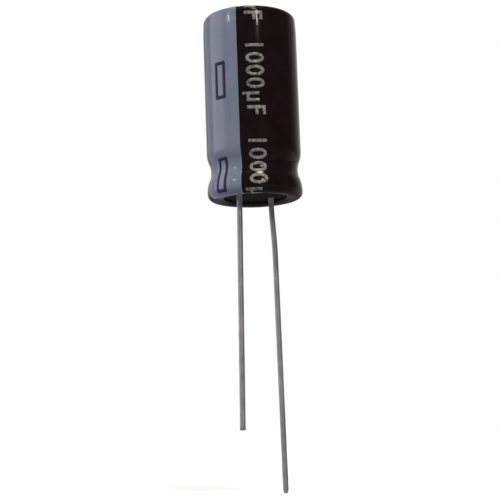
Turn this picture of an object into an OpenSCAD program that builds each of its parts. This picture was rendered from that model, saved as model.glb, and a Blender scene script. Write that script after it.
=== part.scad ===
// Radial-lead aluminium electrolytic capacitor in a sleeved, beaded and curled can.
// The origin is the centre of the seating plane, +Z runs up to the can's closed end and the leads point down.
// The negative lead and the polarity stripe are on the -X side.

/* [Can] */
// Outer diameter of the bare aluminium can
can_d = 10; // [9.6:0.1:12]
// Length of the sleeved case, from the seating plane to the closed end
case_len = 20.4; // [17:0.1:30]
// Thickness of the can's drawn side wall
can_wall = 0.3; // [0.2:0.02:0.36]
// Thickness of the can's closed end
can_top = 0.4; // [0.3:0.05:0.6]
// Outer radius of the shoulder round the closed end
shoulder_r = 0.6; // [0.45:0.05:1]
// Outer radius of the rim's curl
curl_r = 0.7; // [0.6:0.05:0.85]
// Width of the flat that the curl is pressed to on the seating plane
seat_w = 0.25; // [0.1:0.05:0.4]
// Angle through which the rim is curled in
curl_turn = 150; // [145:5:165]

/* [Sealing bead] */
// Height of the bead's centre above the seating plane
bead_z = 3.1; // [3:0.1:3.6]
// Depth of the bead in the can's side
bead_depth = 0.6; // [0.45:0.05:0.8]
// Height from the bead's centre to where the side is straight again
bead_half = 2.15; // [1.9:0.05:2.2]
// Radius of the bead's hollow in the can
bead_r = 1.5; // [1:0.1:1.8]

/* [Safety vent] */
// Length of each score across the closed end
vent_len = 6; // [4:0.2:6.4]
// Depth of the scores
vent_depth = 0.24; // [0.1:0.02:0.28]
// Number of scores that cross at the centre
vent_scores = 2; // [2:1:3]

/* [Sleeve and print] */
// Thickness of the shrunk sleeve
sleeve_t = 0.13; // [0.08:0.01:0.2]
// Width of the sleeve's lap on the flat of the closed end
sleeve_lap = 0.75; // [0.4:0.05:1.1]
// Depth to which the sleeve follows the bead
sleeve_dip = 0.42; // [0.3:0.02:0.44]
// Radius of the sleeve's hollow over the bead
sleeve_dip_r = 2.6; // [2:0.1:3]
// Height by which the stretched sleeve bridges each side of the bead's mouth
sleeve_bridge = 0.1; // [0.1:0.05:0.4]
// Angle through which the sleeve wraps round the rim's curl
sleeve_turn = 140; // [120:5:140]
// Thickness of a printed ink film
ink_t = 0.03; // [0.02:0.01:0.05]
// Angle to which the print follows the rim's curl, short of the flat on the board
print_turn = 70; // [50:5:70]
// Width of the polarity stripe round the case
stripe_w = 4.9; // [3:0.1:7]
// Width of an outlined minus box, round the case
minus_w = 1.45; // [1:0.05:2.5]
// Length of a minus box, along the case
minus_len = 3.95; // [2:0.05:5]
// Height of the lowest minus box's lower edge above the seating plane
minus_z = 0.3; // [0.2:0.05:2]
// Distance from one minus box to the next
minus_pitch = 10.3; // [7:0.1:12]
// Width of the outline's line
minus_line_w = 0.2; // [0.1:0.02:0.3]

/* [Rubber bung] */
// Thickness of the bung
bung_t = 4.4; // [4:0.1:5]
// Thickness of the lip that holds each stem's lower end
bung_lip = 0.6; // [0.4:0.05:1]
// Diameter of the exit holes through the lip
exit_d = 1; // [0.95:0.05:1.2]
// Diameter of the funnels at the mouths of the exit holes
funnel_d = 1.6; // [1.3:0.1:1.8]
// Depth of those funnels
funnel_t = 0.25; // [0.1:0.05:0.35]

/* [Leads] */
// Distance between the two leads where they leave the case
lead_pitch = 5; // [4.6:0.1:5]
// Diameter of the tinned wires
wire_d = 0.6; // [0.5:0.05:0.65]
// Diameter of the weld between wire and stem
weld_d = 0.86; // [0.7:0.02:0.9]
// Inner radius of the bends in the wires
bend_r = 2; // [1.5:0.1:4]
// Straight length of each wire from the seating plane to its first bend
exit_run = 0.9; // [0.6:0.1:2]
// Angle by which the negative wire leans outwards
negative_angle = 1.6; // [0.5:0.1:5]
// Straight length of the negative wire below its bend
negative_run = 23.75; // [5:0.25:40]
// Angle by which the positive wire first leans outwards
positive_angle = 5.3; // [1:0.5:12]
// Straight length of the positive wire between its two bends
joggle_run = 3.6; // [1:0.2:8]
// Angle by which its second bend brings it back
back_angle = 4.7; // [0.5:0.1:12]
// Straight length of the positive wire below its second bend
positive_run = 26.6; // [5:0.1:45]

/* [Terminals and winding] */
// Diameter of each aluminium terminal's round stem
stem_d = 1.3; // [1.2:0.05:1.4]
// Length of stem that stands above the bung
stem_proud = 0.2; // [0.1:0.05:0.5]
// Length of the forged taper from stem to paddle
taper_len = 0.6; // [0.4:0.1:1]
// Width of the taper where it leaves the stem
neck_w = 0.84; // [0.6:0.04:0.84]
// Width of the paddles in the winding
paddle_w = 1.9; // [1.5:0.1:2.4]
// Thickness of the paddles
paddle_t = 0.26; // [0.2:0.02:0.4]
// Length of the paddles inside the winding
paddle_len = 10; // [6:0.5:11]
// Clearance between the closing tape and the can's wall
roll_clear = 0.18; // [0.1:0.02:0.5]
// Diameter of the hole that the winding mandrel leaves
core_d = 1.4; // [1:0.1:2]
// Thickness of one turn of foils and papers
turn_t = 0.36; // [0.34:0.02:0.6]
// Thickness of the paper edge that shows in each turn
paper_t = 0.14; // [0.1:0.02:0.2]
// Distance by which the papers stand proud of the foils
paper_proud = 0.5; // [0.3:0.1:1]
// Gap between the winding and the can's closed end
roll_gap = 0.3; // [0.2:0.05:1]
// Thickness of the closing tape
tape_t = 0.07; // [0.05:0.01:0.1]
// Width of the closing tape
tape_w = 9; // [4:0.5:10]
// Clearance round the paddles in the winding
paddle_gap = 0.02; // [0.01:0.01:0.05]

/* [Hidden] */
$fn = 96;
// Step of the points along a rounded profile, in degrees
arc_step = 10;
can_r = can_d/2;
can_top_z = case_len - sleeve_t;
inner_r = can_r - can_wall;
curl_z = sleeve_t + curl_r;
outer_curl_x = can_r - curl_r;
inner_curl_x = outer_curl_x - seat_w;
lap_r = can_r - shoulder_r - sleeve_lap;
bung_z = curl_z - curl_r*sin(sleeve_turn);
bung_top = bung_z + bung_t;
stem_z = bung_z + bung_lip;
stem_top = bung_top + stem_proud;
roll_z = stem_top + taper_len;
roll_top = can_top_z - can_top - roll_gap;
roll_r = inner_r - roll_clear - tape_t;
core_r = core_d/2;
turns = floor((roll_r - core_r - paper_t)/turn_t);
// Step of the points along the winding's spiral, in degrees
spiral_step = 20;
stripe_angle = stripe_w/(can_r + sleeve_t)*180/PI;
minus_angle = minus_w/(can_r + sleeve_t)*180/PI;
line_angle = minus_line_w/(can_r + sleeve_t)*180/PI;
minus_count = floor((can_top_z - shoulder_r - minus_z - minus_len)/minus_pitch) + 1;
// A cutter reaches this far past the faces that it opens
past = 0.1;

aluminium = [0.80, 0.81, 0.83];
tinned = [0.62, 0.62, 0.65];
sleeve_brown = [0.11, 0.08, 0.09];
stripe_grey = [0.45, 0.47, 0.55];
mark_navy = [0.15, 0.13, 0.28];
rubber_black = [0.07, 0.07, 0.07];
paper_buff = [0.78, 0.72, 0.60];
tape_amber = [0.80, 0.62, 0.28];

// Points at arc_step apart from angle a to angle b, and one at b itself
function arc(centre, r, a, b) =
    let (way = b > a ? arc_step : -arc_step, whole = ceil(abs(b - a)/arc_step - 0.01) - 1)
    concat([for (i = [0:whole]) centre + r*[cos(a + i*way), sin(a + i*way)]],
           [centre + r*[cos(b), sin(b)]]);

function tail(points) = [for (i = [1:len(points) - 1]) points[i]];
function reversed(points) = [for (i = [len(points) - 1:-1:0]) points[i]];

// A bead as a smooth wave, at distance e outside the can's surface: a hollow of radius r between two flanks,
// whose radius f lets them fade into the straight side at the height half from the bead's centre
function bead(e, depth, r, half) =
    let (f = (half*half + depth*depth)/(2*depth) - r, t = acos((r + f - depth)/(r + f)))
    concat(arc([can_r - f, bead_z + half], f + e, 0, -t),
           tail(arc([can_r + r - depth, bead_z], r - e, 180 - t, 180 + t)),
           tail(arc([can_r - f, bead_z - half], f + e, t, 0)));
function can_bead(e) = bead(e, bead_depth, bead_r, bead_half);
function sleeve_bead(e) = bead(e, sleeve_dip, sleeve_dip_r, bead_half - sleeve_bridge);

// The rim's curl at distance e outside the can's surface, curled in through the angle turn
function curl(e, turn) =
    concat(arc([outer_curl_x, curl_z], curl_r + e, 0, -min(turn, 90)),
           turn > 90 ? arc([inner_curl_x, curl_z], curl_r + e, -90, -turn) : []);

// The shoulder at distance e outside the can's surface; e_top is that distance at the closed end
function shoulder(e, e_top) =
    arc([can_r - shoulder_r, can_top_z + e_top - shoulder_r - e], shoulder_r + e, 90, 0);

// The can's and the sleeve's whole outlines, from the closed end to the curl's tip
function can_line(e, e_top) =
    concat([[0, can_top_z + e_top]], shoulder(e, e_top), can_bead(e), curl(e, curl_turn));
function sleeve_line(e, turn) =
    concat([[lap_r, can_top_z + e]], shoulder(e, e), sleeve_bead(e), curl(e, turn));

// One V-shaped score across the closed end
module vent_score() {
    translate([0, 0, can_top_z])
        rotate([90, 0, 90])
            linear_extrude(height = vent_len, center = true)
                polygon([[-vent_depth - past, past], [0, -vent_depth], [vent_depth + past, past]]);
}

module can() {
    color(aluminium)
        difference() {
            rotate_extrude()
                polygon(concat(can_line(0, 0), reversed(can_line(-can_wall, -can_top))));
            for (i = [0:vent_scores - 1])
                rotate([0, 0, 45 + i*180/vent_scores])
                    vent_score();
        }
}

module sleeve() {
    color(sleeve_brown)
        rotate_extrude()
            polygon(concat(sleeve_line(sleeve_t, sleeve_turn), reversed(sleeve_line(0, sleeve_turn))));
}

// A section of ink on the sleeve, which ends above the flat that meets the board
module ink_section(e1, e2) {
    polygon(concat(sleeve_line(e2, print_turn), reversed(sleeve_line(e1, print_turn))));
}

// The part of a whole round of ink that lies between z1 and z2 and inside the angle wide on the -X side
module ink_sector(z1, z2, wide) {
    translate([0, 0, z1])
        rotate([0, 0, 180 - wide/2])
            rotate_extrude(angle = wide)
                translate([lap_r/2, 0])
                    square([can_r, z2 - z1]);
}

module polarity_stripe() {
    color(stripe_grey)
        intersection() {
            rotate_extrude()
                ink_section(sleeve_t, sleeve_t + ink_t);
            ink_sector(0, case_len + sleeve_t, stripe_angle);
        }
}

// A patch of ink on the stripe, from height z1 to z2 and across the angle wide
module ink_patch(z1, z2, wide, e1, e2) {
    intersection() {
        rotate_extrude()
            ink_section(e1, e2);
        ink_sector(z1, z2, wide);
    }
}

// One minus mark: a box drawn in outline
module minus_box(z) {
    difference() {
        ink_patch(z, z + minus_len, minus_angle, sleeve_t + ink_t, sleeve_t + 2*ink_t);
        ink_patch(z + minus_line_w, z + minus_len - minus_line_w, minus_angle - 2*line_angle,
                  sleeve_t + ink_t/2, sleeve_t + 3*ink_t);
    }
}

module minus_marks() {
    color(mark_navy)
        for (i = [0:minus_count - 1])
            minus_box(minus_z + i*minus_pitch);
}

// The bung fills the curl, the bead's inside and the side wall, up to its own thickness
module bung_section() {
    side_top = bead_z + bead_half;
    tip = arc([inner_curl_x, curl_z], curl_r, -sleeve_turn, -curl_turn);
    intersection() {
        polygon(concat([[0, side_top + bung_t], [inner_r, side_top + bung_t]],
                       can_bead(-can_wall), curl(-can_wall, curl_turn),
                       reversed(tip), [[0, bung_z]]));
        translate([0, bung_z])
            square([can_r, bung_t]);
    }
}

// The stepped hole for one lead: funnel, exit hole and the bore that grips the stem
module stem_hole() {
    translate([0, 0, bung_z - past])
        cylinder(d = exit_d, h = bung_lip + 2*past);
    translate([0, 0, bung_z])
        cylinder(d1 = funnel_d, d2 = exit_d, h = funnel_t);
    translate([0, 0, stem_z])
        cylinder(d = stem_d, h = bung_t);
}

module rubber_bung() {
    color(rubber_black)
        difference() {
            rotate_extrude()
                bung_section();
            for (s = [-1, 1])
                translate([s*lead_pitch/2, 0, 0])
                    stem_hole();
        }
}

module paddle(gap) {
    translate([-paddle_t/2 - gap, -paddle_w/2 - gap, 0])
        cube([paddle_t + 2*gap, paddle_w + 2*gap, paddle_len + gap]);
}

// A plate with an outline that runs from the width bottom to the width top over the taper's length
module tapered_plate(bottom, top) {
    linear_extrude(height = paddle_w, center = true)
        polygon([[-bottom/2, -past], [bottom/2, -past], [bottom/2, 0], [top/2, taper_len],
                 [top/2, taper_len + past], [-top/2, taper_len + past], [-top/2, taper_len], [-bottom/2, 0]]);
}

// The forging between stem and paddle, which thins one way and widens the other
module taper() {
    intersection() {
        rotate([90, 0, 0])
            tapered_plate(neck_w, paddle_t);
        rotate([90, 0, 90])
            tapered_plate(neck_w, paddle_w);
    }
}

// An aluminium terminal: round stem, forged taper and flat paddle
module tab() {
    color(aluminium) {
        translate([0, 0, stem_z])
            cylinder(d = stem_d, h = stem_top - stem_z);
        translate([0, 0, stem_top])
            taper();
        translate([0, 0, roll_z])
            paddle(0);
    }
}

module negative_tab() {
    translate([-lead_pitch/2, 0, 0])
        tab();
}

module positive_tab() {
    translate([lead_pitch/2, 0, 0])
        tab();
}

// The spiral that a wound sheet's edge follows, at a distance outside the core
function spiral(distance) =
    [for (a = [0:spiral_step:360*turns]) (core_r + distance + turn_t*a/360)*[cos(a), sin(a)]];

// A wound sheet, standing up from here
module wound_sheet(thickness, height) {
    linear_extrude(height = height)
        polygon(concat(spiral(0), reversed(spiral(thickness))));
}

module wound_element() {
    foil_len = roll_top - roll_z - 2*paper_proud;
    color(paper_buff)
        difference() {
            translate([0, 0, roll_z])
                union() {
                    translate([0, 0, paper_proud])
                        difference() {
                            cylinder(r = roll_r, h = foil_len);
                            translate([0, 0, -past])
                                cylinder(r = core_r, h = foil_len + 2*past);
                        }
                    wound_sheet(paper_t, paper_proud + past);
                    translate([0, 0, foil_len + paper_proud - past])
                        wound_sheet(paper_t, paper_proud + past);
                }
            for (s = [-1, 1])
                translate([s*lead_pitch/2, 0, roll_z])
                    paddle(paddle_gap);
        }
}

module closing_tape() {
    color(tape_amber)
        translate([0, 0, (roll_z + roll_top - tape_w)/2])
            difference() {
                cylinder(r = roll_r + tape_t, h = tape_w);
                translate([0, 0, -past])
                    cylinder(r = roll_r, h = tape_w + 2*past);
            }
}

// A wire that runs down from here: each run is a straight length and the turn at its end, outwards if positive.
// A turn the other way is made in a mirrored frame, and way keeps count of the mirrors. A ball of the wire's own
// size at each end of a bend makes it one with the straight runs.
module bent_wire(runs, i = 0, way = 1) {
    length = runs[i][0];
    side = runs[i][1]*way < 0 ? -1 : 1;
    turn = abs(runs[i][1]);
    translate([0, 0, -length]) {
        cylinder(d = wire_d, h = length);
        if (i < len(runs) - 1)
            mirror([side < 0 ? 1 : 0, 0, 0]) {
                sphere(d = wire_d);
                elbow(turn);
                translate([bend_r*(1 - cos(turn)), 0, -bend_r*sin(turn)]) {
                    sphere(d = wire_d);
                    rotate([0, -turn, 0])
                        bent_wire(runs, i + 1, way*side);
                }
            }
    }
}

// A bend of the angle turn, from straight down towards +X
module elbow(turn) {
    translate([bend_r, 0, 0])
        rotate([90, 0, 0])
            rotate([0, 0, 180])
                rotate_extrude(angle = turn)
                    translate([bend_r, 0])
                        circle(d = wire_d);
}

// One lead: the weld cone up to the stem, then the wire
module lead(runs) {
    color(tinned) {
        cylinder(d1 = wire_d, d2 = weld_d, h = stem_z);
        bent_wire(runs);
    }
}

module negative_wire() {
    translate([-lead_pitch/2, 0, 0])
        mirror([1, 0, 0])
            lead([[exit_run, negative_angle], [negative_run, 0]]);
}

module positive_wire() {
    translate([lead_pitch/2, 0, 0])
        lead([[exit_run, positive_angle], [joggle_run, -back_angle], [positive_run, 0]]);
}

can();
sleeve();
polarity_stripe();
minus_marks();
rubber_bung();
wound_element();
closing_tape();
negative_tab();
positive_tab();
negative_wire();
positive_wire();
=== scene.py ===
import math

import bmesh
import bpy
import numpy as np
from mathutils import Matrix, Vector


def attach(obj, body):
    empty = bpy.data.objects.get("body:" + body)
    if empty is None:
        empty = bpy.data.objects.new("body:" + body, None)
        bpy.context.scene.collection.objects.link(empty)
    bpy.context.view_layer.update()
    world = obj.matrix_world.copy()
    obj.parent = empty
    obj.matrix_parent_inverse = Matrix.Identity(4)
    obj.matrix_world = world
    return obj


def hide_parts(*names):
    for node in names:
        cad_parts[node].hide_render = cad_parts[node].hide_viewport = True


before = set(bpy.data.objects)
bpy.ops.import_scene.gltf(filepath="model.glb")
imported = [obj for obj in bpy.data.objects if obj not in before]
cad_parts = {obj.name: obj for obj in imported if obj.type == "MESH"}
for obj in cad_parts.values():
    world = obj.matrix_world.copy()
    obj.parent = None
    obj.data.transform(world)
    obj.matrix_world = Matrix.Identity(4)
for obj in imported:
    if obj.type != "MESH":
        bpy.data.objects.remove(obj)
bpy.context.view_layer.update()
scene = bpy.context.scene

# Camera: low in front of the leads, 8.4 degrees up, so that the rim and the seal show from below.
# It turns with the case, whose stripe is on its left, and leans a little to the left in the picture.
view_turn = math.radians(-46.6)
view_tilt = math.radians(8.42)
view_roll = math.radians(-2.02)
across = Vector((1, 0, 0))
ahead = Vector((0, math.cos(view_tilt), math.sin(view_tilt)))
above = Vector((0, -math.sin(view_tilt), math.cos(view_tilt)))
rolled_across = math.cos(view_roll) * across + math.sin(view_roll) * above
rolled_above = math.cos(view_roll) * above - math.sin(view_roll) * across
camera_axes = Matrix((rolled_across, rolled_above, -ahead)).transposed().to_4x4()
camera_data = bpy.data.cameras.new("camera")
camera_data.lens = 94.43
camera_data.sensor_width = 36
camera_data.clip_start = 0.004
camera_data.clip_end = 20
camera = bpy.data.objects.new("camera", camera_data)
camera_place = Matrix.Translation((-0.00078, -0.139841, -0.026147))
camera.matrix_world = Matrix.Rotation(view_turn, 4, "Z") @ camera_place @ camera_axes
scene.collection.objects.link(camera)
scene.camera = camera


# Sleeve: a PVC tube, printed flat, slipped over the can and shrunk on with hot air until it grips.
# Its ends lap over the closed end and under the curled rim. It bridges the bead and keeps faint shrink waves.
can_radius = 5.0
top_height = 20.27
sleeve_thick = 0.13
rim_radius = 4.3
rim_flat_radius = 4.05
rim_height = 0.83
shoulder_bend = 0.6
rim_bend = 0.7
lap_radius = 3.65
bead_height = 3.1
film_dip = 0.42
film_hollow = 2.6
film_half = 2.05
film_turn = 140
dent_turn = math.radians(229.6)
dent_height = 2.15
dent_radius = 4.8
dent_cos, dent_sin = 0.62, 0.78


def arc_line(centre_r, centre_z, bend, first, last, step=0.04):
    """Points (r, z) on an arc: centre plus bend times (cos, sin) of an angle that runs from first to last."""
    count = max(3, int(abs(math.radians(last - first) * bend) / step) + 2)
    a = np.radians(np.linspace(first, last, count))
    return np.column_stack([centre_r + bend * np.cos(a), centre_z + bend * np.sin(a)])


def case_line(lift, dip, hollow, half, turn, inner_edge, top_lift):
    """The case's outline at a lift outside the can: a lap, a quarter arc at the shoulder, a bead of one
    hollow between two flanks, a quarter arc round the rim, its flat, and the rest of the curl to the angle
    turn."""
    flank = (half**2 + dip**2) / (2 * dip) - hollow
    tilt = math.degrees(math.acos((flank + hollow - dip) / (flank + hollow)))
    top = top_height + top_lift
    edge = np.linspace(inner_edge, can_radius - shoulder_bend, 24)
    parts = [
        np.column_stack([edge, np.full(edge.size, top)]),
        arc_line(can_radius - shoulder_bend, top - shoulder_bend - lift, shoulder_bend + lift, 90, 0),
        arc_line(can_radius - flank, bead_height + half, flank + lift, 0, -tilt),
        arc_line(can_radius + hollow - dip, bead_height, hollow - lift, 180 - tilt, 180 + tilt),
        arc_line(can_radius - flank, bead_height - half, flank + lift, tilt, 0),
        arc_line(rim_radius, rim_height, rim_bend + lift, 0, -90),
        arc_line(rim_flat_radius, rim_height, rim_bend + lift, -90, -turn),
    ]
    line = np.concatenate(parts)
    keep = np.append(True, np.hypot(*np.diff(line, axis=0).T) > 1e-6)
    return line[keep]


def even_line(line, step):
    """The same line with points at one even distance along it, and that distance at each point."""
    run = np.append(0, np.cumsum(np.hypot(*np.diff(line, axis=0).T)))
    count = int(run[-1] / step) + 1
    at = np.linspace(0, run[-1], count)
    return np.column_stack([np.interp(at, run, line[:, 0]), np.interp(at, run, line[:, 1])]), at


film_line = case_line(sleeve_thick, film_dip, film_hollow, film_half, film_turn, lap_radius, sleeve_thick)
skin_line, skin_run = even_line(film_line, 0.02)
skin_slope = np.gradient(skin_line, skin_run, axis=0)
skin_slope /= np.hypot(*skin_slope.T)[:, None]
skin_out = np.column_stack([-skin_slope[:, 1], skin_slope[:, 0]])
skin_length = skin_run[-1]


def run_at_height(z):
    """Distance along the sleeve's outline, from the lap, at which its side comes down to the height z."""
    side = (skin_line[:, 0] > 4.45) & (skin_run > 1.4)
    return float(np.interp(-z, -skin_line[side, 1], skin_run[side]))


def shrink_waves(run, angle):
    """Lift of the skin in mm: slow waves along and round the case, drapes at the bead, puckers at the lap, a
    swell at the corner of the rim, where the film bridges, a slight draw inwards below the shoulder, and one
    slanting dent on the bead, a bell shape longer one way than the other."""
    side = 0.5 * (1 + np.sin(3 * angle + 0.35 * run) * np.sin(0.8 * run + 1.7 * np.sin(angle)))
    drape = 0.5 * (1 + np.sin(7 * angle - 0.9 * run + 2 * np.sin(2 * angle)))
    at_bead = np.exp(-(((run - run_at_height(bead_height)) / 1.7) ** 2))
    at_lap = np.exp(-((run / 0.7) ** 2))
    pucker = 0.5 * (1 + np.sin(19 * angle + 3 * np.sin(3 * angle)))
    at_rim = np.exp(-(((run - (skin_length - 1.9)) / 0.75) ** 2))
    at_shoulder = np.exp(-(((run - run_at_height(top_height - 0.6)) / 0.8) ** 2))
    off_round = dent_radius * (angle - dent_turn)
    off_down = run - run_at_height(dent_height)
    along_dent = dent_cos * off_round - dent_sin * off_down
    across_dent = dent_sin * off_round + dent_cos * off_down
    at_dent = np.exp(-0.5 * ((along_dent / 0.55) ** 2 + (across_dent / 0.3) ** 2))
    return (0.010 * side + 0.022 * drape * at_bead + 0.03 * pucker * at_lap + 0.06 * at_rim
            - 0.06 * at_shoulder - 0.013 * at_dent)


def on_skin(run, angle, lift):
    """The point in mm at a distance run along the outline, turned round the axis by angle, with a lift along
    the outline's normal that adds the shrink waves."""
    r, z = np.interp(run, skin_run, skin_line[:, 0]), np.interp(run, skin_run, skin_line[:, 1])
    out_r, out_z = np.interp(run, skin_run, skin_out[:, 0]), np.interp(run, skin_run, skin_out[:, 1])
    rise = lift + shrink_waves(run, angle)
    r = r + rise * out_r
    return np.stack([r * np.cos(angle), r * np.sin(angle), z + rise * out_z], axis=-1)


def grid_faces(rows, columns, wrap_rows=False, wrap_columns=False):
    """Corner numbers of the four-sided faces of a grid, whose last row or column may join its first."""
    i = np.arange(rows if wrap_rows else rows - 1)[:, None]
    j = np.arange(columns if wrap_columns else columns - 1)[None, :]
    i2, j2 = (i + 1) % rows, (j + 1) % columns
    corners = (i * columns + j, i2 * columns + j, i2 * columns + j2, i * columns + j2)
    return np.stack(np.broadcast_arrays(*corners), -1).reshape(-1, 4)


def revolve(line, turns):
    """A line of (r, z) carried round the axis through the given angles."""
    return np.stack([line[:, 0, None] * np.cos(turns), line[:, 0, None] * np.sin(turns),
                     np.repeat(line[:, 1, None], len(turns), 1)], -1)


def skin_steps(first, last, lap_count, rim_count):
    """Distances along the outline from first to last: close over the lap and the rim, wider down the side."""
    return np.concatenate([np.linspace(first, 3.0, lap_count), np.linspace(3.1, skin_length - 7.6, 60),
                           np.linspace(skin_length - 7.5, last, rim_count)])


def make_piece(name, points_mm, faces, material):
    """A smooth mesh object at the origin from points in mm and faces of any size."""
    mesh = bpy.data.meshes.new(name)
    mesh.from_pydata((np.asarray(points_mm).reshape(-1, 3) * 0.001).tolist(), [], [list(f) for f in faces])
    mesh.polygons.foreach_set("use_smooth", [True] * len(mesh.polygons))
    mesh.materials.append(material)
    mesh.validate()
    mesh.update()
    piece = bpy.data.objects.new(name, mesh)
    scene.collection.objects.link(piece)
    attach(piece, "root")
    return piece


def plain_material(name, colour, roughness, metallic=0.0, specular=0.5):
    """A material with its Principled shader, whose even values are set on the shader's own sockets."""
    material = bpy.data.materials.new(name)
    material.use_nodes = True
    shader = material.node_tree.nodes["Principled BSDF"]
    shader.inputs["Base Color"].default_value = (*colour, 1)
    shader.inputs["Roughness"].default_value = roughness
    shader.inputs["Metallic"].default_value = metallic
    shader.inputs["Specular IOR Level"].default_value = specular
    return material, material.node_tree.nodes, material.node_tree.links, shader


def group_shell(name, inputs, outputs):
    """An empty shader node group with named number inputs, and outputs given as (name, socket type)."""
    tree = bpy.data.node_groups.new(name, "ShaderNodeTree")
    for label, value in inputs:
        socket = tree.interface.new_socket(label, in_out="INPUT", socket_type="NodeSocketFloat")
        socket.default_value = value
    for label, kind in outputs:
        tree.interface.new_socket(label, in_out="OUTPUT", socket_type=kind)
    return tree, tree.nodes.new("NodeGroupInput"), tree.nodes.new("NodeGroupOutput")


# The skin's finish, shared by the sleeve and all that is printed on it: a fine peel, and a slow gloss change
skin_group, skin_in, skin_outputs = group_shell(
    "shrunk_skin",
    [("Peel", 1.0), ("Gloss low", 0.18), ("Gloss high", 0.3)],
    [("Normal", "NodeSocketVector"), ("Roughness", "NodeSocketFloat"), ("Shade", "NodeSocketFloat")],
)
place = skin_group.nodes.new("ShaderNodeTexCoord")
peel = skin_group.nodes.new("ShaderNodeTexNoise")
peel.inputs["Scale"].default_value = 1100
peel.inputs["Detail"].default_value = 5
peel.inputs["Roughness"].default_value = 0.55
cloud = skin_group.nodes.new("ShaderNodeTexNoise")
cloud.inputs["Scale"].default_value = 420
cloud.inputs["Detail"].default_value = 5
cloud.inputs["Roughness"].default_value = 0.6
bump = skin_group.nodes.new("ShaderNodeBump")
bump.inputs["Distance"].default_value = 0.00002
gloss = skin_group.nodes.new("ShaderNodeMapRange")
skin_group.links.new(place.outputs["Object"], peel.inputs["Vector"])
skin_group.links.new(place.outputs["Object"], cloud.inputs["Vector"])
skin_group.links.new(peel.outputs["Fac"], bump.inputs["Height"])
skin_group.links.new(skin_in.outputs["Peel"], bump.inputs["Strength"])
skin_group.links.new(cloud.outputs["Fac"], gloss.inputs["Value"])
gloss.inputs["From Min"].default_value = 0.35
gloss.inputs["From Max"].default_value = 0.65
skin_group.links.new(skin_in.outputs["Gloss low"], gloss.inputs["To Min"])
skin_group.links.new(skin_in.outputs["Gloss high"], gloss.inputs["To Max"])
skin_group.links.new(bump.outputs["Normal"], skin_outputs.inputs["Normal"])
skin_group.links.new(gloss.outputs["Result"], skin_outputs.inputs["Roughness"])
cloud_spread = skin_group.nodes.new("ShaderNodeMapRange")
cloud_spread.inputs["From Min"].default_value = 0.35
cloud_spread.inputs["From Max"].default_value = 0.65
skin_group.links.new(cloud.outputs["Fac"], cloud_spread.inputs["Value"])
skin_group.links.new(cloud_spread.outputs["Result"], skin_outputs.inputs["Shade"])


def skin_material(name, dark, light, gloss_low, gloss_high, peel_strength, specular):
    """A material of the shrunk skin: its colour drifts between dark and light with the shared finish."""
    material, nodes, links, shader = plain_material(name, dark, gloss_low, specular=specular)
    finish = nodes.new("ShaderNodeGroup")
    finish.node_tree = skin_group
    finish.inputs["Peel"].default_value = peel_strength
    finish.inputs["Gloss low"].default_value = gloss_low
    finish.inputs["Gloss high"].default_value = gloss_high
    drift = nodes.new("ShaderNodeMix")
    drift.data_type = "RGBA"
    drift.inputs["A"].default_value = (*dark, 1)
    drift.inputs["B"].default_value = (*light, 1)
    links.new(finish.outputs["Shade"], drift.inputs["Factor"])
    links.new(drift.outputs["Result"], shader.inputs["Base Color"])
    links.new(finish.outputs["Roughness"], shader.inputs["Roughness"])
    links.new(finish.outputs["Normal"], shader.inputs["Normal"])
    return material, nodes, links, shader, drift


stripe_dark = (0.129, 0.152, 0.214)
stripe_light = (0.154, 0.157, 0.229)
sleeve_brown, nodes, links, shader, drift = skin_material(
    "sleeve_brown", (0.0062, 0.0033, 0.0037), (0.0092, 0.0050, 0.0062), 0.07, 0.13, 0.35, 0.08
)
# Under the rim the stripe's ink is in the sleeve itself: a wedge of 54.7 degrees about the -X side
place = nodes.new("ShaderNodeTexCoord")
axes = nodes.new("ShaderNodeSeparateXYZ")
back_x = nodes.new("ShaderNodeMath")
back_x.operation = "MULTIPLY"
back_x.inputs[1].default_value = -1
turn = nodes.new("ShaderNodeMath")
turn.operation = "ARCTAN2"
spread = nodes.new("ShaderNodeMath")
spread.operation = "ABSOLUTE"
wedge = nodes.new("ShaderNodeMath")
wedge.operation = "LESS_THAN"
wedge.inputs[1].default_value = math.radians(27.3)
inked = nodes.new("ShaderNodeMix")
inked.data_type = "RGBA"
inked.inputs["B"].default_value = (*stripe_dark, 1)
links.new(place.outputs["Object"], axes.inputs["Vector"])
links.new(axes.outputs["X"], back_x.inputs[0])
links.new(axes.outputs["Y"], turn.inputs[0])
links.new(back_x.outputs["Value"], turn.inputs[1])
links.new(turn.outputs["Value"], spread.inputs[0])
links.new(spread.outputs["Value"], wedge.inputs[0])
links.new(wedge.outputs["Value"], inked.inputs["Factor"])
links.new(drift.outputs["Result"], inked.inputs["A"])
links.new(inked.outputs["Result"], shader.inputs["Base Color"])
# The film is dulled where it was drawn in tight under the rim
under = nodes.new("ShaderNodeMapRange")
under.inputs["From Min"].default_value = 0.00055
under.inputs["From Max"].default_value = 0.0001
under.inputs["To Min"].default_value = 0.0
under.inputs["To Max"].default_value = 0.5
dulled = nodes.new("ShaderNodeMath")
dulled.operation = "ADD"
links.new(axes.outputs["Z"], under.inputs["Value"])
links.new(shader.inputs["Roughness"].links[0].from_socket, dulled.inputs[0])
links.new(under.outputs["Result"], dulled.inputs[1])
links.new(dulled.outputs["Value"], shader.inputs["Roughness"])

around = 320
sleeve_turns = np.linspace(0, 2 * np.pi, around, endpoint=False)
outer_run = skin_steps(0, skin_length, 44, 92)
outer_wall = on_skin(outer_run[:, None], sleeve_turns[None, :], 0.0)
inner_line, _ = even_line(case_line(0.0, film_dip, film_hollow, film_half, film_turn, lap_radius, 0.0), 0.35)
inner_wall = revolve(inner_line, sleeve_turns)
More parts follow.
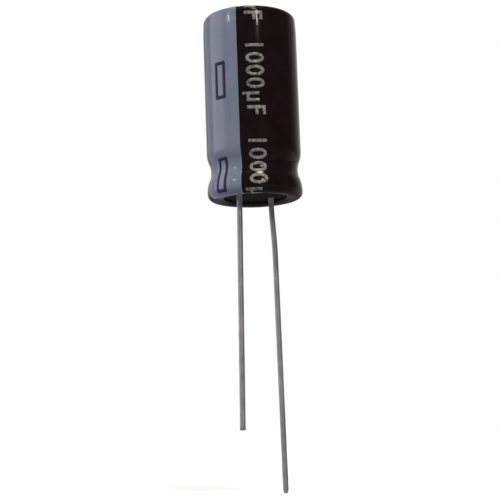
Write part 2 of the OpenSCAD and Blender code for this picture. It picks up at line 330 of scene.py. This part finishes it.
# The cut edges wander a little, as shrinking leaves them
lap_wander = (0.07 * np.sin(sleeve_turns + 0.6) + 0.035 * np.sin(3 * sleeve_turns)
              + 0.012 * np.sin(8 * sleeve_turns))
for wall, reach in ((outer_wall, outer_run), (inner_wall, np.linspace(0, skin_length, len(inner_line)))):
    give = np.exp(-((reach / 0.35) ** 2))[:, None] * lap_wander[None, :]
    wall[..., 0] += give * np.cos(sleeve_turns)
    wall[..., 1] += give * np.sin(sleeve_turns)
foot_bulge = 0.4 * outer_wall[-1] + 0.6 * inner_wall[-1]
lap_bulge = 0.4 * outer_wall[0] + 0.6 * inner_wall[0]
sleeve_loop = np.concatenate([outer_wall, foot_bulge[None], inner_wall[::-1], lap_bulge[None]])
sleeve_faces = grid_faces(len(sleeve_loop), around, wrap_rows=True, wrap_columns=True)
sleeve = make_piece("shrunk_sleeve", sleeve_loop, sleeve_faces, sleeve_brown)
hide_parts("sleeve")


# Stripe and minus boxes: blue-grey ink down the negative side, and navy outlines of minus signs on it.
# Both were printed on the tube before it was shrunk, so they follow its waves and run over both ends.
ink_thick = 0.03
stripe_middle = math.radians(180)
skin_radius = can_radius + sleeve_thick


def ink_field(run, angle, low, high):
    """Points and faces of a closed film over a grid of (run, angle): its top and bottom at two lifts, and its
    sides."""
    rows, columns = run.shape
    top = on_skin(run, angle, high)
    bottom = on_skin(run, angle, low)
    faces = grid_faces(rows, columns)
    lower = faces[:, ::-1] + rows * columns
    rim = np.concatenate([np.arange(columns), np.arange(1, rows) * columns + columns - 1,
                          (rows - 1) * columns + np.arange(columns - 2, -1, -1),
                          np.arange(rows - 2, 0, -1) * columns])
    after = np.roll(rim, -1)
    sides = np.stack([rim, after, after + rows * columns, rim + rows * columns], -1)
    return np.concatenate([top.reshape(-1, 3), bottom.reshape(-1, 3)]), np.concatenate([faces, lower, sides])


def outward(piece):
    """Turns a closed film's faces so that they all point outwards."""
    solid = bmesh.new()
    solid.from_mesh(piece.data)
    bmesh.ops.recalc_face_normals(solid, faces=solid.faces)
    solid.to_mesh(piece.data)
    solid.free()


stripe_ink, *_ = skin_material("stripe_ink", stripe_dark, stripe_light, 0.13, 0.22, 0.45, 0.2)
# The stripe ends 20 degrees before the rim's flat, which has 50 degrees more of the curl past it
film_bend = rim_bend + sleeve_thick
rim_flat = rim_radius - rim_flat_radius
rim_end = skin_length - film_bend * math.radians(50) - rim_flat - film_bend * math.radians(20)
stripe_run = skin_steps(0.12, rim_end, 40, 84)
half_wide = math.radians(27.35)
span = np.linspace(-1, 1, 56)
ragged = 0.0012 * np.sin(1.9 * stripe_run) + 0.0008 * np.sin(7.3 * stripe_run + 1)
stripe_angle = stripe_middle + span[None, :] * half_wide + ragged[:, None] * span[None, :] ** 3
points, faces = ink_field(np.repeat(stripe_run[:, None], span.size, 1), stripe_angle, 0.0, ink_thick)
stripe = make_piece("stripe_print", points, faces, stripe_ink)
outward(stripe)
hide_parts("polarity_stripe")

mark_ink, *_ = skin_material("mark_ink", (0.010, 0.008, 0.030), (0.018, 0.014, 0.044), 0.2, 0.3, 0.4, 0.12)
box_wide = 1.38
box_line = 0.33
box_corner = 0.12


def box_outline(top_run, bottom_run, middle, wide, line, corner):
    """Points and faces of one outlined box: a rounded rectangle's edge, carried as a ribbon of the line's
    width."""
    tall = bottom_run - top_run
    ribbon = []
    for inset in (0.0, line):
        w, t, c = wide / 2 - inset, tall / 2 - inset, max(corner - inset, 0.03)
        loop = []
        for cx, cy, first in ((w - c, t - c, 0), (-w + c, t - c, 90),
                              (-w + c, -t + c, 180), (w - c, -t + c, 270)):
            a = np.radians(np.linspace(first, first + 90, 7))
            loop.append(np.column_stack([cx + c * np.cos(a), cy + c * np.sin(a)]))
        ribbon.append(np.concatenate(loop))
    outer, inner = ribbon
    filled = []
    for loop in (outer, inner):
        ahead_loop = np.roll(loop, -1, axis=0)
        steps = np.linspace(0, 1, 12, endpoint=False)[None, :, None]
        filled.append((loop[:, None] * (1 - steps) + ahead_loop[:, None] * steps).reshape(-1, 2))
    across_line = np.linspace(0, 1, 3)[None, :, None]
    flat = filled[0][:, None] * (1 - across_line) + filled[1][:, None] * across_line
    run = (top_run + bottom_run) / 2 + flat[..., 1]
    angle = middle + flat[..., 0] / skin_radius
    count = len(flat)
    top = on_skin(run, angle, 2 * ink_thick)
    bottom = on_skin(run, angle, ink_thick)
    section = np.concatenate([top, bottom[:, ::-1]], axis=1)
    return section, grid_faces(count, 6, wrap_rows=True, wrap_columns=True)


box_points, box_faces, start = [], [], 0
for top_z, bottom_z, box_turn in ((14.42, 10.36, 183.2), (4.07, 0.32, 179.9)):
    points, faces = box_outline(run_at_height(top_z), run_at_height(bottom_z), math.radians(box_turn),
                                box_wide, box_line, box_corner)
    box_points.append(points.reshape(-1, 3))
    box_faces.append(faces + start)
    start += len(box_points[-1])
marks = make_piece("minus_print", np.concatenate(box_points), np.concatenate(box_faces), mark_ink)
outward(marks)
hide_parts("minus_marks")


# Rating print: the plain value and its unit, in grey ink, which repeats down the case beside the stripe.
# It reads downwards, was printed flat with the stripe, and runs on over the shoulder and round the rim.
print_ink, nodes, links, shader, drift = skin_material(
    "print_ink", (0.165, 0.155, 0.160), (0.215, 0.205, 0.212), 0.12, 0.2, 0.4, 0.12
)
# The ink is thin, so the brown shows through in flecks
place = nodes.new("ShaderNodeTexCoord")
fleck = nodes.new("ShaderNodeTexNoise")
fleck.inputs["Scale"].default_value = 3200
fleck.inputs["Detail"].default_value = 4
thin_ink = nodes.new("ShaderNodeMapRange")
thin_ink.inputs["From Min"].default_value = 0.46
thin_ink.inputs["From Max"].default_value = 0.70
thin_ink.inputs["To Max"].default_value = 0.75
flecked = nodes.new("ShaderNodeMix")
flecked.data_type = "RGBA"
flecked.inputs["B"].default_value = (0.012, 0.008, 0.009, 1)
links.new(place.outputs["Object"], fleck.inputs["Vector"])
links.new(fleck.outputs["Fac"], thin_ink.inputs["Value"])
links.new(thin_ink.outputs["Result"], flecked.inputs["Factor"])
links.new(drift.outputs["Result"], flecked.inputs["A"])
links.new(flecked.outputs["Result"], shader.inputs["Base Color"])
letter_tall = 1.93
letter_bold = 0.045
letter_face = 0.22
word_long = 7.75
word_pitch = 10.4
word_top = 15.98
word_turn = math.radians(228.7)


def open_edges(triangles):
    """Start and end corners of the edges that only one triangle has, in that triangle's own direction."""
    start = triangles.ravel()
    end = np.roll(triangles, -1, 1).ravel()
    count = triangles.max() + 1
    alone = ~np.isin(start * count + end, end * count + start)
    return start[alone], end[alone]


def read_triangles(mesh):
    """The points of a mesh of triangles, and the corner numbers of each."""
    spots = np.empty(len(mesh.vertices) * 3)
    corners = np.empty(len(mesh.loops), dtype=np.int32)
    mesh.vertices.foreach_get("co", spots)
    mesh.loops.foreach_get("vertex_index", corners)
    return spots.reshape(-1, 3), corners.reshape(-1, 3).astype(np.int64)


def flat_word(text, long, tall, bold):
    """A flat mesh of the text, from x 0 to long and y -tall/2 to tall/2, cut into small faces. To thicken it,
    each point of an outline moves by bold times twice the sum of the two arrows of length 1 that point
    squarely out of its two edges, divided by that sum's squared length, or by 0.8 where that is less."""
    curve = bpy.data.curves.new("word", "FONT")
    curve.body = text
    curve.size = 2.6
    curve.space_character = 1.12
    curve.resolution_u = 3
    holder = bpy.data.objects.new("word", curve)
    scene.collection.objects.link(holder)
    bpy.context.view_layer.update()
    mesh = bpy.data.meshes.new_from_object(holder.evaluated_get(bpy.context.evaluated_depsgraph_get()))
    bpy.data.objects.remove(holder)
    spots, triangles = read_triangles(mesh)
    start, end = open_edges(triangles)
    along = spots[end] - spots[start]
    square_out = np.column_stack([along[:, 1], -along[:, 0], along[:, 2]]) / np.hypot(*along.T[:2])[:, None]
    push = np.zeros_like(spots)
    np.add.at(push, start, square_out)
    np.add.at(push, end, square_out)
    spots += 2 * bold * push / np.maximum((push**2).sum(1), 0.8)[:, None]
    low, high = spots.min(0), spots.max(0)
    spots[:, 0] = (spots[:, 0] - low[0]) / (high[0] - low[0]) * long
    spots[:, 1] = spots[:, 1] / high[1] * tall - tall / 2
    mesh.vertices.foreach_set("co", spots.ravel())
    flat = bmesh.new()
    flat.from_mesh(mesh)
    for way, reach in (((1, 0, 0), long), ((0, 1, 0), tall)):
        for cut in np.arange(-tall, reach, letter_face):
            geometry = flat.verts[:] + flat.edges[:] + flat.faces[:]
            bmesh.ops.bisect_plane(flat, geom=geometry, dist=1e-5, plane_co=cut * Vector(way), plane_no=way)
    flat.to_mesh(mesh)
    flat.free()
    return mesh


first_run = run_at_height(word_top)
word_mesh = flat_word("1000µF", word_long, letter_tall, letter_bold)
layer = bpy.data.meshes.new("layer")
for count in (-1, 0, 1):
    word = bmesh.new()
    word.from_mesh(word_mesh)
    bmesh.ops.translate(word, verts=word.verts, vec=(first_run + count * word_pitch, 0, 0))
    for limit, way in ((0.15, -1), (skin_length - 0.9, 1)):
        geometry = word.verts[:] + word.edges[:] + word.faces[:]
        bmesh.ops.bisect_plane(word, geom=geometry, dist=1e-5, plane_co=(limit, 0, 0), plane_no=(way, 0, 0),
                               clear_outer=True)
    word.from_mesh(layer)
    bmesh.ops.triangulate(word, faces=word.faces)
    word.to_mesh(layer)
    word.free()
flat_spots, flat_faces = read_triangles(layer)
letter_angle = word_turn + flat_spots[:, 1] / skin_radius
start, end = open_edges(flat_faces)
below = len(flat_spots)
print_faces = [*flat_faces.tolist(), *(flat_faces[:, ::-1] + below).tolist(),
               *np.column_stack([end, start, start + below, end + below]).tolist()]
print_points = np.concatenate([on_skin(flat_spots[:, 0], letter_angle, ink_thick),
                               on_skin(flat_spots[:, 0], letter_angle, 0.0)])
rating_print = make_piece("rating_print", print_points, print_faces, print_ink)
outward(rating_print)


# Can: one aluminium blank drawn to a cup, beaded to squeeze the seal, its rim curled in over it.
# Scores pressed across the closed end are its safety vent, and their edges stand up a little.
metal_group, metal_in, metal_out = group_shell(
    "worked_metal",
    [("Grain", 1.0), ("Gloss low", 0.2), ("Gloss high", 0.4), ("Stretch", 0.05)],
    [("Normal", "NodeSocketVector"), ("Roughness", "NodeSocketFloat"), ("Shade", "NodeSocketFloat")],
)
place = metal_group.nodes.new("ShaderNodeTexCoord")
stretch = metal_group.nodes.new("ShaderNodeCombineXYZ")
stretch.inputs["X"].default_value = 1
stretch.inputs["Y"].default_value = 1
draw = metal_group.nodes.new("ShaderNodeVectorMath")
draw.operation = "MULTIPLY"
lines = metal_group.nodes.new("ShaderNodeTexNoise")
lines.inputs["Scale"].default_value = 9000
lines.inputs["Detail"].default_value = 4
blotch = metal_group.nodes.new("ShaderNodeTexNoise")
blotch.inputs["Scale"].default_value = 900
blotch.inputs["Detail"].default_value = 4
rough = metal_group.nodes.new("ShaderNodeMapRange")
bump = metal_group.nodes.new("ShaderNodeBump")
bump.inputs["Distance"].default_value = 0.000003
metal_group.links.new(metal_in.outputs["Stretch"], stretch.inputs["Z"])
metal_group.links.new(place.outputs["Object"], draw.inputs[0])
metal_group.links.new(stretch.outputs["Vector"], draw.inputs[1])
metal_group.links.new(draw.outputs["Vector"], lines.inputs["Vector"])
metal_group.links.new(place.outputs["Object"], blotch.inputs["Vector"])
metal_group.links.new(lines.outputs["Fac"], bump.inputs["Height"])
metal_group.links.new(metal_in.outputs["Grain"], bump.inputs["Strength"])
metal_group.links.new(blotch.outputs["Fac"], rough.inputs["Value"])
metal_group.links.new(metal_in.outputs["Gloss low"], rough.inputs["To Min"])
metal_group.links.new(metal_in.outputs["Gloss high"], rough.inputs["To Max"])
metal_group.links.new(bump.outputs["Normal"], metal_out.inputs["Normal"])
metal_group.links.new(rough.outputs["Result"], metal_out.inputs["Roughness"])
blotch_spread = metal_group.nodes.new("ShaderNodeMapRange")
blotch_spread.inputs["From Min"].default_value = 0.35
blotch_spread.inputs["From Max"].default_value = 0.65
metal_group.links.new(blotch.outputs["Fac"], blotch_spread.inputs["Value"])
metal_group.links.new(blotch_spread.outputs["Result"], metal_out.inputs["Shade"])


def metal_material(name, dark, light, gloss_low, gloss_high, grain, draw_stretch):
    """A worked metal: its colour drifts between dark and light, its grain is drawn out by draw_stretch."""
    material, nodes, links, shader = plain_material(name, dark, gloss_low, metallic=1.0)
    finish = nodes.new("ShaderNodeGroup")
    finish.node_tree = metal_group
    finish.inputs["Grain"].default_value = grain
    finish.inputs["Gloss low"].default_value = gloss_low
    finish.inputs["Gloss high"].default_value = gloss_high
    finish.inputs["Stretch"].default_value = draw_stretch
    drift = nodes.new("ShaderNodeMix")
    drift.data_type = "RGBA"
    drift.inputs["A"].default_value = (*dark, 1)
    drift.inputs["B"].default_value = (*light, 1)
    links.new(finish.outputs["Shade"], drift.inputs["Factor"])
    links.new(drift.outputs["Result"], shader.inputs["Base Color"])
    links.new(finish.outputs["Roughness"], shader.inputs["Roughness"])
    links.new(finish.outputs["Normal"], shader.inputs["Normal"])
    return material


can_aluminium = metal_material(
    "can_aluminium", (0.44, 0.445, 0.455), (0.54, 0.545, 0.555), 0.26, 0.4, 0.6, 0.05
)
can_around = 400
wall_thick = 0.3
end_thick = 0.4
end_edge = 4.4
bead_dip = 0.6
bead_hollow = 1.5
bead_half = 2.15
curl_turn = 150
score_half_long = 2.85
score_half_wide = 0.235
score_round = 0.03
can_turns = np.linspace(0, 2 * np.pi, can_around, endpoint=False)
end_rings = np.append(np.linspace(0.02, 3.3, 62), np.linspace(3.36, end_edge, 8))


def vent_height(x, y):
    """Height of the closed end in mm: 0 on the flat, less a rounded V along each of two crossed lines, which
    fades out at its ends, plus a low lip on both sides of each line."""
    height = np.zeros_like(x)
    for line_turn in (45, 135):
        a = math.radians(line_turn)
        along = x * math.cos(a) + y * math.sin(a)
        off = -x * math.sin(a) + y * math.cos(a)
        fade = 1 / (1 + np.exp((np.abs(along) - score_half_long) / 0.06))
        vee = np.clip(score_half_wide - np.sqrt(off**2 + score_round**2), 0, None)
        lip = 0.018 * np.exp(-(((np.abs(off) - 0.29) / 0.06) ** 2))
        height = np.minimum(height, -vee * fade) + lip * fade
    return height


outer_case = case_line(0.0, bead_dip, bead_hollow, bead_half, curl_turn, end_edge, 0.0)
inner_case = case_line(-wall_thick, bead_dip, bead_hollow, bead_half, curl_turn, end_edge, -end_thick)
outer_line, _ = even_line(outer_case[1:], 0.26)
inner_can, _ = even_line(inner_case[1:], 0.34)
end_x = end_rings[:, None] * np.cos(can_turns)
end_y = end_rings[:, None] * np.sin(can_turns)
end_face = np.stack([end_x, end_y, top_height + vent_height(end_x, end_y)], -1)
under_rings = np.column_stack([np.linspace(4.3, 0.02, 10), np.full(10, top_height - end_thick)])
can_rows = np.concatenate([end_face, revolve(outer_line, can_turns), revolve(inner_can[::-1], can_turns),
                           revolve(under_rings, can_turns)])
can_faces = grid_faces(len(can_rows), can_around, wrap_columns=True)
caps = [list(range(can_around))[::-1], [(len(can_rows) - 1) * can_around + i for i in range(can_around)]]
can_shell = make_piece("can_shell", can_rows, [*can_faces.tolist(), *caps], can_aluminium)
outward(can_shell)
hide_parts("can")


# Leads: steel wire with a dull tin skin, drawn, butt-welded to the stems, led out of the seal and cropped.
# Each is one round wire that leans gently outwards. The cutter leaves its tip a little flattened.
lead_tin = metal_material(
    "lead_tin", (0.275, 0.270, 0.300), (0.350, 0.345, 0.370), 0.48, 0.62, 0.6, 0.03
)
wire_radius = 0.3
wire_sides = 40
weld_height = 0.98
weld_flare = 0.13
bend_radius = 2.0
lead_start = 2.5


def bent_path(start_x, runs, bend):
    """Points (x, z) of a wire that runs down: a straight length and then an arc of the given turn, run by
    run."""
    x, z, lean = start_x, 0.0, 0.0
    points = [(start_x, weld_height), (start_x, 0.6), (start_x, 0.3), (start_x, 0.0)]
    for length, turn_deg in runs:
        for k in range(1, 13):
            points.append((x + math.sin(lean) * length * k / 12, z - math.cos(lean) * length * k / 12))
        x, z = points[-1]
        if turn_deg:
            turn_by = math.radians(turn_deg)
            way = 1 if turn_by > 0 else -1
            for k in range(1, 7):
                a = lean + turn_by * k / 6
                points.append((x + way * bend * (math.cos(lean) - math.cos(a)),
                               z - way * bend * (math.sin(a) - math.sin(lean))))
            x, z = points[-1]
            lean += turn_by
    return np.array(points)


def round_wire(name, path, node, tip):
    """A tube along the path: at each point a circle across the path, whose radius and flatness vary near its
    ends."""
    run = np.append(0, np.cumsum(np.hypot(*np.diff(path, axis=0).T)))
    at = np.unique(np.concatenate([np.linspace(0, 3, 60), np.linspace(3, run[-1] - 0.6, 190),
                                   np.linspace(run[-1] - 0.6, run[-1], 24)]))
    z = np.interp(at, run, path[:, 1])
    # The bends are eased: the course is averaged over a bell-shaped stretch of the wire, 0.9 mm to each side
    even = np.arange(0, run[-1] + 0.05, 0.05)
    bell = np.exp(-0.5 * (np.arange(-60, 61) / 18) ** 2)
    course = np.interp(even, run, path[:, 0])
    padded = np.concatenate([2 * course[0] - course[60:0:-1], course, 2 * course[-1] - course[-2:-62:-1]])
    x = np.interp(at, even, np.convolve(padded, bell / bell.sum(), "valid"))
    slope = np.gradient(np.column_stack([x, z]), at, axis=0)
    slope /= np.hypot(*slope.T)[:, None]
    side = np.column_stack([-slope[:, 1], slope[:, 0]])
    turns = np.linspace(0, 2 * np.pi, wire_sides, endpoint=False)
    radius = wire_radius + weld_flare * np.clip(1 - at / weld_height, 0, 1)
    radius = radius * (1 + 0.006 * np.sin(2.1 * at) + 0.004 * np.sin(5.3 * at + 1))
    to_tip = run[-1] - at
    flat = np.exp(-((to_tip / 0.22) ** 2))
    wide, thin = radius * (1 + 0.10 * flat), radius * (1 - 0.34 * flat)
    round_off = np.sqrt(np.clip(1 - np.clip(1 - to_tip / 0.05, 0, 1) ** 2, 0.35, 1))
    wide, thin = wide * round_off, thin * round_off
    ring_a = thin[:, None] * np.cos(turns - tip)
    ring_b = wide[:, None] * np.sin(turns - tip)
    across_x = ring_a * math.cos(tip) - ring_b * math.sin(tip)
    across_y = ring_a * math.sin(tip) + ring_b * math.cos(tip)
    rings = np.stack([x[:, None] + side[:, 0, None] * across_x, across_y,
                      z[:, None] + side[:, 1, None] * across_x], -1)
    faces = grid_faces(len(rings), wire_sides, wrap_columns=True).tolist()
    last_ring = (len(rings) - 1) * wire_sides
    faces += [list(range(wire_sides)), [last_ring + i for i in range(wire_sides)][::-1]]
    wire = make_piece(name, rings, faces, lead_tin)
    outward(wire)
    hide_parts(node)


short_path = bent_path(lead_start, [(0.9, 1.6), (23.75, 0)], bend_radius) * [-1, 1]
long_path = bent_path(lead_start, [(0.9, 5.3), (3.6, -4.7), (26.6, 0)], bend_radius)
round_wire("short_lead", short_path, "negative_wire", 0.6)
round_wire("long_lead", long_path, "positive_wire", 2.1)


# Seal: a moulded butyl rubber bung, squeezed by the bead and held in by the rim's curl.
# Matt black, with a fine mould texture and traces of pale dust.
bung_rubber, nodes, links, shader = plain_material("bung_rubber", (0.006, 0.006, 0.006), 0.7, specular=0.02)
place = nodes.new("ShaderNodeTexCoord")
mould = nodes.new("ShaderNodeTexNoise")
mould.inputs["Scale"].default_value = 6500
mould.inputs["Detail"].default_value = 4
bump = nodes.new("ShaderNodeBump")
bump.inputs["Strength"].default_value = 0.7
bump.inputs["Distance"].default_value = 0.000008
dust = nodes.new("ShaderNodeTexNoise")
dust.inputs["Scale"].default_value = 1500
dust.inputs["Detail"].default_value = 6
dust.inputs["Roughness"].default_value = 0.7
dusty = nodes.new("ShaderNodeValToRGB")
dusty.color_ramp.elements[0].position = 0.45
dusty.color_ramp.elements[0].color = (0.0040, 0.0036, 0.0042, 1)
dusty.color_ramp.elements[1].position = 0.75
dusty.color_ramp.elements[1].color = (0.020, 0.018, 0.019, 1)
rough = nodes.new("ShaderNodeMapRange")
rough.inputs["To Min"].default_value = 0.65
rough.inputs["To Max"].default_value = 0.85
links.new(place.outputs["Object"], mould.inputs["Vector"])
links.new(place.outputs["Object"], dust.inputs["Vector"])
links.new(mould.outputs["Fac"], bump.inputs["Height"])
links.new(bump.outputs["Normal"], shader.inputs["Normal"])
links.new(dust.outputs["Fac"], dusty.inputs["Fac"])
links.new(dust.outputs["Fac"], rough.inputs["Value"])
links.new(dusty.outputs["Color"], shader.inputs["Base Color"])
links.new(rough.outputs["Result"], shader.inputs["Roughness"])


def finish_node(name, material):
    """Gives a carried-over node its finished material in every slot."""
    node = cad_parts[name]
    if not node.data.materials:
        node.data.materials.append(material)
    for k in range(len(node.material_slots)):
        node.material_slots[k].material = material


finish_node("rubber_bung", bung_rubber)


# Terminals: aluminium wire, its lower end a round stem in the seal, its upper end forged to a thin paddle.
# They are stitched to the foils before the roll is wound.
tab_aluminium = metal_material(
    "tab_aluminium", (0.60, 0.60, 0.61), (0.78, 0.78, 0.78), 0.3, 0.5, 0.8, 0.1
)
finish_node("negative_tab", tab_aluminium)
finish_node("positive_tab", tab_aluminium)


# Winding: two foils and their paper separators rolled together and soaked, the papers proud of the foils.
# The paper is buff and fibrous, and darker where the electrolyte has pooled. A film of tape holds it shut.
roll_paper, nodes, links, shader = plain_material("roll_paper", (0.50, 0.42, 0.28), 0.75, specular=0.3)
place = nodes.new("ShaderNodeTexCoord")
fibre = nodes.new("ShaderNodeTexNoise")
fibre.inputs["Scale"].default_value = 5200
fibre.inputs["Detail"].default_value = 6
soak = nodes.new("ShaderNodeTexNoise")
soak.inputs["Scale"].default_value = 350
soak.inputs["Detail"].default_value = 4
tint = nodes.new("ShaderNodeValToRGB")
tint.color_ramp.elements[0].position = 0.3
tint.color_ramp.elements[0].color = (0.36, 0.28, 0.16, 1)
tint.color_ramp.elements[1].position = 0.7
tint.color_ramp.elements[1].color = (0.62, 0.54, 0.38, 1)
bump = nodes.new("ShaderNodeBump")
bump.inputs["Strength"].default_value = 0.8
bump.inputs["Distance"].default_value = 0.00001
links.new(place.outputs["Object"], fibre.inputs["Vector"])
links.new(place.outputs["Object"], soak.inputs["Vector"])
links.new(fibre.outputs["Fac"], bump.inputs["Height"])
links.new(bump.outputs["Normal"], shader.inputs["Normal"])
links.new(soak.outputs["Fac"], tint.inputs["Fac"])
links.new(tint.outputs["Color"], shader.inputs["Base Color"])
finish_node("wound_element", roll_paper)

tape_film, nodes, links, shader = plain_material("tape_film", (0.55, 0.30, 0.06), 0.3, specular=0.5)
place = nodes.new("ShaderNodeTexCoord")
crease = nodes.new("ShaderNodeTexNoise")
crease.inputs["Scale"].default_value = 1400
crease.inputs["Detail"].default_value = 3
# Painted shade and light: the colour follows the creases' bumps, darker in their hollows and lighter on their
# ridges
painted_crease_shade = nodes.new("ShaderNodeValToRGB")
painted_crease_shade.color_ramp.elements[0].color = (0.46, 0.23, 0.04, 1)
painted_crease_shade.color_ramp.elements[1].color = (0.66, 0.40, 0.11, 1)
bump = nodes.new("ShaderNodeBump")
bump.inputs["Strength"].default_value = 0.5
bump.inputs["Distance"].default_value = 0.00001
links.new(place.outputs["Object"], crease.inputs["Vector"])
links.new(crease.outputs["Fac"], painted_crease_shade.inputs["Fac"])
links.new(painted_crease_shade.outputs["Color"], shader.inputs["Base Color"])
links.new(crease.outputs["Fac"], bump.inputs["Height"])
links.new(bump.outputs["Normal"], shader.inputs["Normal"])
finish_node("closing_tape", tape_film)


# Studio: a white floor at the longer lead's tip, which shows from above only, and a white surround.
# Five lamps: a narrow tall one and a high one right of the camera, a small one and a broad one on the left,
# and a broad one above.
floor_z = -0.03145
floor_reach = 4
floor_mesh = bpy.data.meshes.new("floor")
floor_corners = [(-floor_reach, -floor_reach, floor_z), (floor_reach, -floor_reach, floor_z),
                 (floor_reach, floor_reach, floor_z), (-floor_reach, floor_reach, floor_z)]
floor_mesh.from_pydata(floor_corners, [], [(0, 1, 2, 3)])
floor = bpy.data.objects.new("floor", floor_mesh)
scene.collection.objects.link(floor)
floor_white = bpy.data.materials.new("floor_white")
floor_white.use_nodes = True
nodes, links = floor_white.node_tree.nodes, floor_white.node_tree.links
nodes.clear()
end = nodes.new("ShaderNodeOutputMaterial")
diffuse = nodes.new("ShaderNodeBsdfDiffuse")
diffuse.inputs["Color"].default_value = (0.4, 0.4, 0.4, 1)
glow = nodes.new("ShaderNodeEmission")
path = nodes.new("ShaderNodeLightPath")
seen = nodes.new("ShaderNodeMath")
seen.operation = "ADD"
level = nodes.new("ShaderNodeMath")
level.operation = "MULTIPLY"
mirrored = nodes.new("ShaderNodeMath")
mirrored.operation = "MULTIPLY_ADD"
spot = nodes.new("ShaderNodeTexCoord")
from_part = nodes.new("ShaderNodeVectorMath")
from_part.operation = "LENGTH"
far_off = nodes.new("ShaderNodeMapRange")
far_off.inputs["From Min"].default_value = 0.05
far_off.inputs["From Max"].default_value = 0.5
far_off.inputs["To Min"].default_value = 0.63
far_off.inputs["To Max"].default_value = 0.88
# Gloss shows the white floor behind the object, and a dim one on the camera's side
toward = nodes.new("ShaderNodeVectorMath")
toward.operation = "DOT_PRODUCT"
toward.inputs[1].default_value = (math.sin(view_turn), -math.cos(view_turn), 0)
behind = nodes.new("ShaderNodeMapRange")
behind.inputs["From Min"].default_value = -0.08
behind.inputs["From Max"].default_value = -0.01
behind.inputs["To Min"].default_value = 0.6
behind.inputs["To Max"].default_value = 0.0
links.new(spot.outputs["Object"], from_part.inputs[0])
links.new(from_part.outputs["Value"], far_off.inputs["Value"])
links.new(far_off.outputs["Result"], level.inputs[1])
links.new(spot.outputs["Object"], toward.inputs[0])
links.new(toward.outputs["Value"], behind.inputs["Value"])
both = nodes.new("ShaderNodeAddShader")
clear = nodes.new("ShaderNodeBsdfTransparent")
geometry = nodes.new("ShaderNodeNewGeometry")
one_side = nodes.new("ShaderNodeMixShader")
links.new(path.outputs["Is Camera Ray"], seen.inputs[0])
links.new(path.outputs["Is Transmission Ray"], seen.inputs[1])
links.new(seen.outputs["Value"], level.inputs[0])
links.new(path.outputs["Is Glossy Ray"], mirrored.inputs[0])
links.new(behind.outputs["Result"], mirrored.inputs[1])
links.new(level.outputs["Value"], mirrored.inputs[2])
links.new(mirrored.outputs["Value"], glow.inputs["Strength"])
links.new(diffuse.outputs["BSDF"], both.inputs[0])
links.new(glow.outputs["Emission"], both.inputs[1])
links.new(geometry.outputs["Backfacing"], one_side.inputs["Fac"])
links.new(both.outputs["Shader"], one_side.inputs[1])
links.new(clear.outputs["BSDF"], one_side.inputs[2])
links.new(one_side.outputs["Shader"], end.inputs["Surface"])
floor_mesh.materials.append(floor_white)

world = bpy.data.worlds.new("surround")
scene.world = world
world.use_nodes = True
nodes, links = world.node_tree.nodes, world.node_tree.links
surround = nodes["Background"]
surround.inputs["Color"].default_value = (1, 1, 1, 1)
path = nodes.new("ShaderNodeLightPath")
# What is glossy shows the white surround behind the object, and a dim room on all the other sides
sky = nodes.new("ShaderNodeTexCoord")
toward = nodes.new("ShaderNodeVectorMath")
toward.operation = "DOT_PRODUCT"
toward.inputs[1].default_value = (math.sin(view_turn), -math.cos(view_turn), 0)
room = nodes.new("ShaderNodeMapRange")
room.inputs["From Min"].default_value = -0.95
room.inputs["From Max"].default_value = -0.25
room.inputs["To Min"].default_value = 1.0
room.inputs["To Max"].default_value = 0.14
lit = nodes.new("ShaderNodeMath")
lit.operation = "MULTIPLY_ADD"
lit.inputs[1].default_value = 0.45
mirrored = nodes.new("ShaderNodeMath")
mirrored.operation = "MULTIPLY_ADD"
seen_through = nodes.new("ShaderNodeMath")
seen_through.operation = "ADD"
seen_through.use_clamp = True
links.new(sky.outputs["Generated"], toward.inputs[0])
links.new(toward.outputs["Value"], room.inputs["Value"])
links.new(path.outputs["Is Diffuse Ray"], lit.inputs[0])
links.new(path.outputs["Is Camera Ray"], lit.inputs[2])
links.new(path.outputs["Is Glossy Ray"], mirrored.inputs[0])
links.new(room.outputs["Result"], mirrored.inputs[1])
links.new(lit.outputs["Value"], mirrored.inputs[2])
links.new(mirrored.outputs["Value"], seen_through.inputs[0])
links.new(path.outputs["Is Transmission Ray"], seen_through.inputs[1])
links.new(seen_through.outputs["Value"], surround.inputs["Strength"])


def lamp(name, power, wide, tall, azimuth, elevation, distance, colour=(1, 1, 1)):
    """An area lamp that faces the case's middle from an azimuth right of the camera and an elevation."""
    data = bpy.data.lights.new(name, "AREA")
    data.shape = "RECTANGLE"
    data.size, data.size_y = wide, tall
    data.energy = power
    data.color = colour
    a = math.radians(azimuth) + view_turn
    e = math.radians(elevation)
    way = Vector((math.sin(a) * math.cos(e), -math.cos(a) * math.cos(e), math.sin(e)))
    light = bpy.data.objects.new(name, data)
    light.location = Vector((0, 0, 0.01)) + way * distance
    light.rotation_euler = way.to_track_quat("Z", "Y").to_euler()
    scene.collection.objects.link(light)


lamp("tall_lamp", 0.42, 0.02, 0.06, 19, 24, 0.45, (1.0, 0.97, 0.80))
lamp("high_lamp", 1.1, 0.060, 0.034, 15.5, 53, 0.45, (1.0, 0.97, 0.82))
lamp("small_lamp", 0.14, 0.02, 0.02, -53, 26, 0.45)
lamp("left_lamp", 2.0, 0.5, 0.5, -92, 20, 0.7)
lamp("top_lamp", 1.0, 0.5, 0.5, 10, 75, 0.7)

scene.view_settings.view_transform = "Standard"
